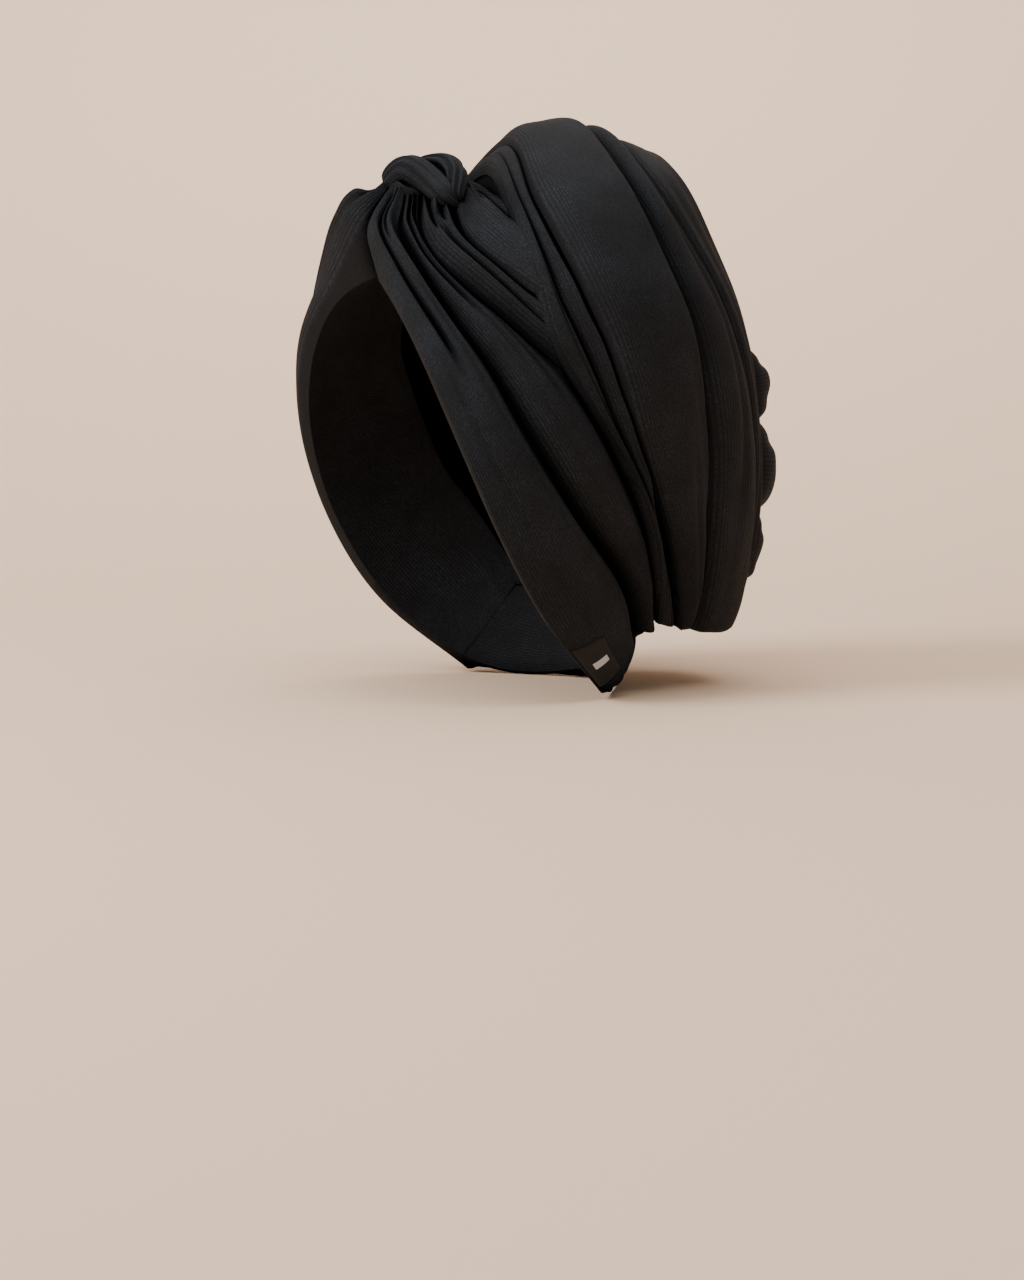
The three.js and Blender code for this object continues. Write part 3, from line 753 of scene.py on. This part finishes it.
def black_cotton_jersey(colour, fuzz, wale):
    """Cotton jersey, circular knitted and dyed black: matt, with a speckled fibre tone and fine wales along
    the fold.
    Its colour and specular are painted darker in creases and nooks by an ambient-occlusion node, as painted
    shade, and stay paler on the open crests. A wale is 0.7 mm, and is drawn 1.3 mm to show."""
    material, tree = new_material("black_cotton_jersey")
    flat = node(tree, "ShaderNodeUVMap", uv_map="cloth").outputs["UV"]
    place = node(tree, "ShaderNodeTexCoord").outputs["Object"]
    mottle = node(tree, "ShaderNodeTexNoise", {"Vector": place, "Scale": 55.0, "Detail": 3.0})
    grain = node(tree, "ShaderNodeTexNoise", {
        "Vector": place, "Scale": 1400.0, "Detail": 2.0, "Roughness": 0.7})
    tone = node(tree, "ShaderNodeMapRange", {
        "Value": grain.outputs["Fac"], "From Min": 0.35, "From Max": 0.75})
    wales = node(tree, "ShaderNodeTexWave", {
        "Vector": flat, "Scale": wave_scale(wale), "Distortion": 1.6, "Detail": 2.0, "Detail Scale": 3.0},
        bands_direction="X")
    rib = node(tree, "ShaderNodeMapRange", {"Value": wales.outputs["Fac"], "To Min": 0.35, "To Max": 1.5})
    worn = math_of(tree, "MULTIPLY", tone.outputs["Result"], mottle.outputs["Fac"])
    ribbed = math_of(tree, "MULTIPLY", worn, rib.outputs["Result"])
    # Painted shade: an ambient-occlusion lookup paints the colour darker and the specular lower in creases
    # and nooks
    painted_shade_ao = node(tree, "ShaderNodeAmbientOcclusion", {"Distance": PAINTED_SHADE_REACH}, samples=8)
    painted_shade_factor = node(tree, "ShaderNodeMapRange", {
        "Value": painted_shade_ao.outputs["AO"], "From Min": PAINTED_SHADE_OPENNESS[0], "From Max": PAINTED_SHADE_OPENNESS[1],
        "To Min": 0.0, "To Max": 1.0}).outputs["Result"]
    # The fibre tone, times the painted shade, picks between the cloth colour and the fibre colour
    tone_and_painted_shade = math_of(tree, "MULTIPLY", ribbed, painted_shade_factor)
    dye = node(tree, "ShaderNodeMix", {0: tone_and_painted_shade, 6: colour, 7: fuzz}, data_type="RGBA")
    # Specular painted lower in the nooks, as shade on the reflections
    painted_shade_specular = math_of(tree, "MULTIPLY", painted_shade_factor, SPECULAR_OUTSIDE_PAINTED_SHADE)
    knit = math_of(tree, "MULTIPLY", wales.outputs["Fac"], 0.5)
    relief = math_of(tree, "ADD", knit, grain.outputs["Fac"])
    bump = node(tree, "ShaderNodeBump", {"Height": relief, "Strength": 0.9, "Distance": 0.36 * MM})
    shader = node(tree, "ShaderNodeBsdfPrincipled", {
        "Base Color": dye.outputs[2], "Roughness": 0.8, "Sheen Weight": 0.04, "Sheen Roughness": 0.4,
        "Sheen Tint": linear("#8a8a90"), "Specular IOR Level": painted_shade_specular, "Normal": bump.outputs["Normal"]})
    node(tree, "ShaderNodeOutputMaterial", {"Surface": shader.outputs[0]})
    return material


def woven_tape(name, dark, light, rough, thread):
    """Polyester tape, woven in a plain weave: a little smoother than the jersey, with threads that
    cross. The threads are 0.3 mm, and are drawn 0.6 mm to show."""
    material, tree = new_material(name)
    flat = node(tree, "ShaderNodeUVMap", uv_map="cloth").outputs["UV"]
    threads = {"Vector": flat, "Scale": wave_scale(thread)}
    warp, weft = (node(tree, "ShaderNodeTexWave", threads, bands_direction=axis).outputs["Fac"]
                  for axis in ("X", "Y"))
    weave = math_of(tree, "MULTIPLY", warp, weft)
    bump = node(tree, "ShaderNodeBump", {"Height": weave, "Strength": 0.5, "Distance": 0.12 * MM})
    noise = node(tree, "ShaderNodeTexNoise", {"Vector": flat, "Scale": 900.0})
    tone = node(tree, "ShaderNodeMix", {0: noise.outputs["Fac"], 6: dark, 7: light}, data_type="RGBA")
    shader = node(tree, "ShaderNodeBsdfPrincipled", {
        "Base Color": tone.outputs[2], "Roughness": rough, "Specular IOR Level": 0.25,
        "Normal": bump.outputs["Normal"]})
    node(tree, "ShaderNodeOutputMaterial", {"Surface": shader.outputs[0]})
    return material


def matt_paper(name, colour):
    """Seamless studio paper: pale and matt."""
    material, tree = new_material(name)
    grain = node(tree, "ShaderNodeTexNoise", {"Scale": 400.0})
    bump = node(tree, "ShaderNodeBump", {"Height": grain.outputs["Fac"], "Strength": 0.05})
    shader = node(tree, "ShaderNodeBsdfPrincipled", {"Base Color": colour, "Roughness": 0.95,
                                                     "Normal": bump.outputs["Normal"]})
    node(tree, "ShaderNodeOutputMaterial", {"Surface": shader.outputs[0]})
    return material


# Label


# Shares across and along the band that the label and its bar cover, and their heights in millimetres
LABEL_PATCH = ((0.04, 0.44), (0.905, 0.985))
LABEL_BASE = 0.1
LABEL_THICK = 1.0
BAR_PATCH = ((0.15, 0.37), (0.939, 0.951))
BAR_THICK = 0.3


def patch(fold, across, along, base, thick, rows=40, columns=40):
    """A small piece of tape that lies on a fold, as its outer and inner grid and flat places."""
    t = np.linspace(*along, rows)[:, None]
    s = np.broadcast_to(np.linspace(*across, columns)[None, :], (rows, columns))
    d, lift = fold.skin(s, t)
    bed = head_radius(d) + lift + fold.height(s, t, s)
    i, j = np.meshgrid(np.linspace(0, 1, rows), np.linspace(0, 1, columns), indexing="ij")
    edge = np.minimum(np.minimum(i, 1 - i) * 3, np.minimum(j, 1 - j) * 3)
    rim = 0.6 + 0.4 * np.clip(edge * 3, 0, 1) ** 0.5
    place = np.stack([s * fold.width, t * fold.length + 0 * s], -1)
    points = lambda r: MIDDLE + d * r[..., None]
    return points(bed + base + thick * rim), points(bed + base), place


# Settings


class HeadwrapCloth(bpy.types.PropertyGroup):
    colour: bpy.props.FloatVectorProperty(
        name="Cloth colour", description="Colour of the dyed jersey", subtype="COLOR", size=4, min=0, max=1,
        default=linear("#020304"))
    fuzz: bpy.props.FloatVectorProperty(
        # The fibre colour shows in the speckle where the cloth is open; in creases the material paints it
        # darker towards the cloth colour, as shade
        name="Fibre colour", description="Colour of the loose fibres on its face", subtype="COLOR", size=4,
        min=0, max=1, default=linear("#2c323d"))
    wale: bpy.props.FloatProperty(
        name="Wale spacing", description="Distance between the knitted ribs, drawn coarse enough to show",
        default=1.3 * MM, min=0.5 * MM, unit="LENGTH")


class HeadwrapLabel(bpy.types.PropertyGroup):
    colour: bpy.props.FloatVectorProperty(
        name="Tape colour", description="Colour of the woven label", subtype="COLOR", size=4, min=0, max=1,
        default=linear("#050506"))
    bar: bpy.props.FloatVectorProperty(
        name="Bar colour", description="Colour of the plain bar woven into the label", subtype="COLOR",
        size=4, min=0, max=1, default=linear("#c9ccce"))
    thread: bpy.props.FloatProperty(
        name="Thread spacing", description="Distance between the threads, drawn coarse enough to show",
        default=0.6 * MM, min=0.2 * MM, unit="LENGTH")


class HeadwrapStage(bpy.types.PropertyGroup):
    paper: bpy.props.FloatVectorProperty(
        name="Paper colour", description="Colour of the floor and backdrop", subtype="COLOR", size=4, min=0,
        max=1, default=linear("#e4c7ac"))
    power: bpy.props.FloatProperty(
        name="Light power", description="Power of the main light", default=30.0, min=0, unit="POWER")
    azimuth: bpy.props.FloatProperty(
        name="Camera turn", description="Turn of the camera from the front to the left side",
        default=math.radians(60), subtype="ANGLE", unit="ROTATION")
    elevation: bpy.props.FloatProperty(
        name="Camera rise", description="Height of the camera over the level", default=math.radians(6),
        subtype="ANGLE", unit="ROTATION")
    distance: bpy.props.FloatProperty(
        name="Camera distance", description="Distance of the camera from the crown", default=1.3, min=0.3,
        unit="LENGTH")


# Operators


def cloth_material():
    cloth = bpy.context.scene.headwrap_cloth
    return black_cotton_jersey(cloth.colour, cloth.fuzz, cloth.wale)


class HEADWRAP_OT_crown(bpy.types.Operator):
    """Builds the wound folds of the crown"""
    bl_idname = "headwrap.crown"
    bl_label = "Crown folds"

    def execute(self, context):
        material = cloth_material()
        for fold in crown_folds():
            add_fold(fold, material)
        return {"FINISHED"}


class HEADWRAP_OT_tail(bpy.types.Operator):
    """Builds the back of the crown and the lobes of the tail tucked into it"""
    bl_idname = "headwrap.tail"
    bl_label = "Tail lobes"

    def execute(self, context):
        material = cloth_material()
        for fold in lobe_folds():
            add_fold(fold, material)
        return {"FINISHED"}


class HEADWRAP_OT_band(bpy.types.Operator):
    """Builds the pleated head band, the tucks behind the knot and the nape"""
    bl_idname = "headwrap.band"
    bl_label = "Head band"

    def execute(self, context):
        material = cloth_material()
        sides = side_folds("left", unturned, *LEFT_BAND) + side_folds("right", mirror, *RIGHT_BAND)
        for fold in sides + [top_tuck()] + nape_folds():
            add_fold(fold, material)
        return {"FINISHED"}


class HEADWRAP_OT_knot(bpy.types.Operator):
    """Builds the knot above the forehead"""
    bl_idname = "headwrap.knot"
    bl_label = "Knot"

    def execute(self, context):
        material = cloth_material()
        add_fold(knot_core(), material)
        for name in LOOPS:
            add_loop(name, material)
        return {"FINISHED"}


class HEADWRAP_OT_label(bpy.types.Operator):
    """Builds the woven label and its plain bar at the low end of the band"""
    bl_idname = "headwrap.label"
    bl_label = "Label"

    def execute(self, context):
        label = context.scene.headwrap_label
        under = side_folds("left", unturned, *LEFT_BAND)[0]
        tape = woven_tape("black_polyester_tape", label.colour, linear("#0f1012"), 0.6, label.thread)
        pale = woven_tape("pale_polyester_weave", label.bar, linear("#9a9da0"), 0.5, label.thread)
        add_wall("label_tape", patch(under, *LABEL_PATCH, LABEL_BASE, LABEL_THICK), tape, ["label"])
        add_wall("label_bar", patch(under, *BAR_PATCH, LABEL_THICK, BAR_THICK), pale, ())
        return {"FINISHED"}


def add_light(name, place, aim, size, power):
    lamp = bpy.data.lights.new(name, "AREA")
    lamp.shape = "RECTANGLE"
    lamp.size, lamp.size_y = size
    lamp.energy = power
    light = bpy.data.objects.new(name, lamp)
    light.location = place
    light.rotation_mode = "QUATERNION"
    light.rotation_quaternion = (Vector(place) - Vector(aim)).to_track_quat("Z", "Y")
    bpy.context.scene.collection.objects.link(light)


def camera_axes(azimuth, elevation):
    """The camera's back, right and up for its turn and rise."""
    back = Vector((math.sin(azimuth) * math.cos(elevation), -math.cos(azimuth) * math.cos(elevation),
                   math.sin(elevation)))
    right = Vector((math.cos(azimuth), math.sin(azimuth), 0))
    return back, right, back.cross(right)


# The photograph's size, the focal length and the place of the seat in pixels, and the sensor's
# width in millimetres
FRAME = (1024, 1280)
FOCAL = 2826
SEAT_AT = (472, 250)
SENSOR = 24


def add_camera(azimuth, elevation, distance):
    back, right, up = camera_axes(azimuth, elevation)
    lens = bpy.data.cameras.new("camera")
    lens.sensor_width = SENSOR
    lens.lens = SENSOR * FOCAL / FRAME[1]
    across = (SEAT_AT[0] - FRAME[0] / 2) / FOCAL * distance
    above = -(SEAT_AT[1] - FRAME[1] / 2) / FOCAL * distance
    camera = bpy.data.objects.new("camera", lens)
    camera.location = back * distance - right * across - up * above
    camera.rotation_mode = "QUATERNION"
    camera.rotation_quaternion = back.to_track_quat("Z", "Y")
    bpy.context.scene.collection.objects.link(camera)
    bpy.context.scene.camera = camera


# Where the paper starts to bend up behind the wrap, and the radius of the bend, in metres
PAPER_FLAT = 0.5
PAPER_BEND = 1.5


def add_backdrop(material, azimuth, floor):
    """A sheet of paper that runs over the floor and curves up behind, turned to the camera."""
    steps = [(-3.0, 0.0), (PAPER_FLAT, 0.0)]
    for a in np.radians(np.arange(4, 91, 4)):
        steps.append((PAPER_FLAT + PAPER_BEND * math.sin(a), PAPER_BEND * (1 - math.cos(a))))
    steps.append((PAPER_FLAT + PAPER_BEND, 4.0))
    back, right, _ = camera_axes(azimuth, 0)
    points = [right * x - back * y + Vector((0, 0, floor + z)) for y, z in steps for x in (-6, 6)]
    mesh = bpy.data.meshes.new("backdrop")
    faces = [(2 * k, 2 * k + 1, 2 * k + 3, 2 * k + 2) for k in range(len(steps) - 1)]
    mesh.from_pydata(points, [], faces)
    mesh.shade_smooth()
    mesh.materials.append(material)
    sheet = bpy.data.objects.new("backdrop", mesh)
    bpy.context.scene.collection.objects.link(sheet)


# The middle of the wrap, the floor's gap below it and the strength of the room's light
WRAP_MIDDLE = (0, 0.045, -0.07)
FLOOR_GAP = 0.0005
ROOM_STRENGTH = 0.38
# Place and aim of each light from the wrap's middle as back to the camera, right and up, then its
# size, and its share of the main light's power
LIGHTS = {
    "key": ((0.75, -1.25, 0.95), (0, 0, 0), (0.7, 0.7), 1.0),
    "fill": ((1.5, 1.0, 0.3), (0, 0, 0), (1.4, 1.4), 0.12),
    "top": ((-0.4, 0, 1.5), (0, 0, 0), (1.2, 1.2), 0.35),
    "floor_wash": ((0.9, 0, 1.5), (0.5, 0, -0.4), (2.0, 0.8), 0.75),
    "backdrop_wash": ((-0.9, 0, 1.2), (-2.4, 0, -0.1), (2.4, 0.6), 0.65),
}


class HEADWRAP_OT_stage(bpy.types.Operator):
    """Builds the paper floor and backdrop, the soft lights and the camera"""
    bl_idname = "headwrap.stage"
    bl_label = "Stage"

    def execute(self, context):
        stage = context.scene.headwrap_stage
        paper = matt_paper("studio_paper", stage.paper)
        add_backdrop(paper, stage.azimuth, CAD_BOX[0][2] - FLOOR_GAP)
        back, right, up = camera_axes(stage.azimuth, stage.elevation)
        middle = Vector(WRAP_MIDDLE)
        for name, (place, aim, size, share) in LIGHTS.items():
            place, aim = (middle + back * b + right * r + up * u for b, r, u in (place, aim))
            add_light(name, place, aim, size, stage.power * share)
        world = bpy.data.worlds.new("studio")
        world.use_nodes = True
        background = world.node_tree.nodes["Background"]
        background.inputs["Color"].default_value = linear("#e9d6c4")
        background.inputs["Strength"].default_value = ROOM_STRENGTH
        context.scene.world = world
        add_camera(stage.azimuth, stage.elevation, stage.distance)
        return {"FINISHED"}


class HEADWRAP_PT_panel(bpy.types.Panel):
    bl_label = "Turban headwrap"
    bl_idname = "HEADWRAP_PT_panel"
    bl_space_type = "VIEW_3D"
    bl_region_type = "UI"
    bl_category = "Headwrap"

    def draw(self, context):
        scene = context.scene
        for title, group, operators in PANEL:
            box = self.layout.box()
            box.label(text=title)
            settings = getattr(scene, group)
            for key in settings.__annotations__:
                box.prop(settings, key)
            for operator in operators:
                box.operator(operator)


PANEL = [
    ("Cloth", "headwrap_cloth", ["headwrap.crown", "headwrap.tail", "headwrap.band", "headwrap.knot"]),
    ("Label", "headwrap_label", ["headwrap.label"]),
    ("Stage", "headwrap_stage", ["headwrap.stage"]),
]
GROUPS = {"headwrap_cloth": HeadwrapCloth, "headwrap_label": HeadwrapLabel, "headwrap_stage": HeadwrapStage}
CLASSES = [*GROUPS.values(), HEADWRAP_OT_crown, HEADWRAP_OT_tail, HEADWRAP_OT_band, HEADWRAP_OT_knot,
           HEADWRAP_OT_label, HEADWRAP_OT_stage, HEADWRAP_PT_panel]


def register():
    for cls in CLASSES:
        bpy.utils.register_class(cls)
    for name, group in GROUPS.items():
        setattr(bpy.types.Scene, name, bpy.props.PointerProperty(type=group))


def unregister():
    for name in GROUPS:
        delattr(bpy.types.Scene, name)
    for cls in reversed(CLASSES):
        bpy.utils.unregister_class(cls)


def main():
    register()
    bpy.ops.headwrap.stage()
    bpy.ops.headwrap.crown()
    bpy.ops.headwrap.tail()
    bpy.ops.headwrap.band()
    bpy.ops.headwrap.knot()
    bpy.ops.headwrap.label()


if __name__ == "__main__":
    main()
